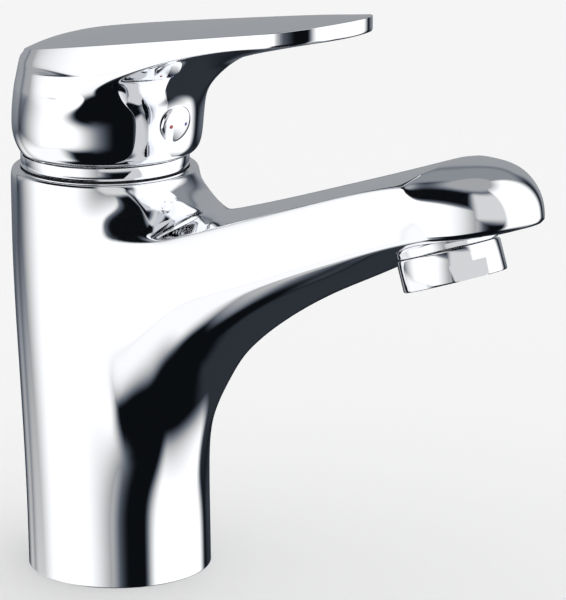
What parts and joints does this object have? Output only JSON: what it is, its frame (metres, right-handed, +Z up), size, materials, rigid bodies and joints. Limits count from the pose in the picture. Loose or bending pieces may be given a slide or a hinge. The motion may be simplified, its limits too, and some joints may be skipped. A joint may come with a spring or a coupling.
{
  "type": "basin mixer tap",
  "caption": "Chrome single-lever basin mixer tap: round column, sloping spout with aerator, lift-and-turn lever over a ceramic disc cartridge.",
  "frame": {"origin": "centre of the column's foot, on the plane where the tap stands on the basin", "axes": "+Z up, +X along the spout towards the outlet, +Y to the left of a person looking along the spout"},
  "size_m": [0.1812, 0.0546, 0.1684],
  "materials": {
    "chrome_brass": "polished chrome plate over cast brass",
    "chrome_zinc": "polished chrome plate over cast zinc",
    "brass": "machined",
    "steel": "machined",
    "grey_plastic": "moulded",
    "white_plastic": "moulded",
    "red_plastic": "moulded",
    "blue_plastic": "moulded",
    "ceramic": "lapped alumina",
    "rubber": "matt"
  },
  "bodies": {
    "tap_body": {"body": "chrome_brass", "inlet_block": "brass", "base_seal": "rubber", "cartridge_base": "white_plastic", "inlet_seals": "rubber", "chamber_o_ring": "rubber", "fixed_disc": "ceramic", "cartridge_housing": "grey_plastic", "cartridge_nut": "brass", "escutcheon_ring": "chrome_zinc", "ring_o_ring": "rubber", "aerator_collar": "chrome_zinc", "aerator_gasket": "rubber", "aerator_insert": "white_plastic", "aerator_inlet_filter": "grey_plastic", "aerator_grille": "grey_plastic"},
    "turning_collar": {"rotor": "white_plastic", "stem_pin": "steel", "hot_limit_ring": "red_plastic"},
    "lever": {"lever_stem": "steel", "handle": "chrome_zinc", "handle_grub_screw": "steel", "index_plug": "chrome_zinc", "hot_mark": "red_plastic", "cold_mark": "blue_plastic"},
    "sliding_disc": {"moving_disc": "ceramic", "disc_carrier": "white_plastic"}
  },
  "joints": [
    {"name": "temperature_turn", "type": "hinge", "parent": "tap_body", "child": "turning_collar", "pos_m": [-0.0042, 0, 0.0985], "axis": [0, 0, 1], "range_deg": [-45, 45]},
    {"name": "lever_lift", "type": "hinge", "parent": "turning_collar", "child": "lever", "pos_m": [-0.0042, 0, 0.0985], "axis": [0, -1, 0], "range_deg": [0, 22]},
    {"name": "disc_slide", "type": "slide", "parent": "turning_collar", "child": "sliding_disc", "axis": [1, 0, 0], "range_m": [0, 0.0027]}
  ],
  "couplings": [
    {"joint": "disc_slide", "follows": "lever_lift", "m_per_rad": 0.0069}
  ]
}
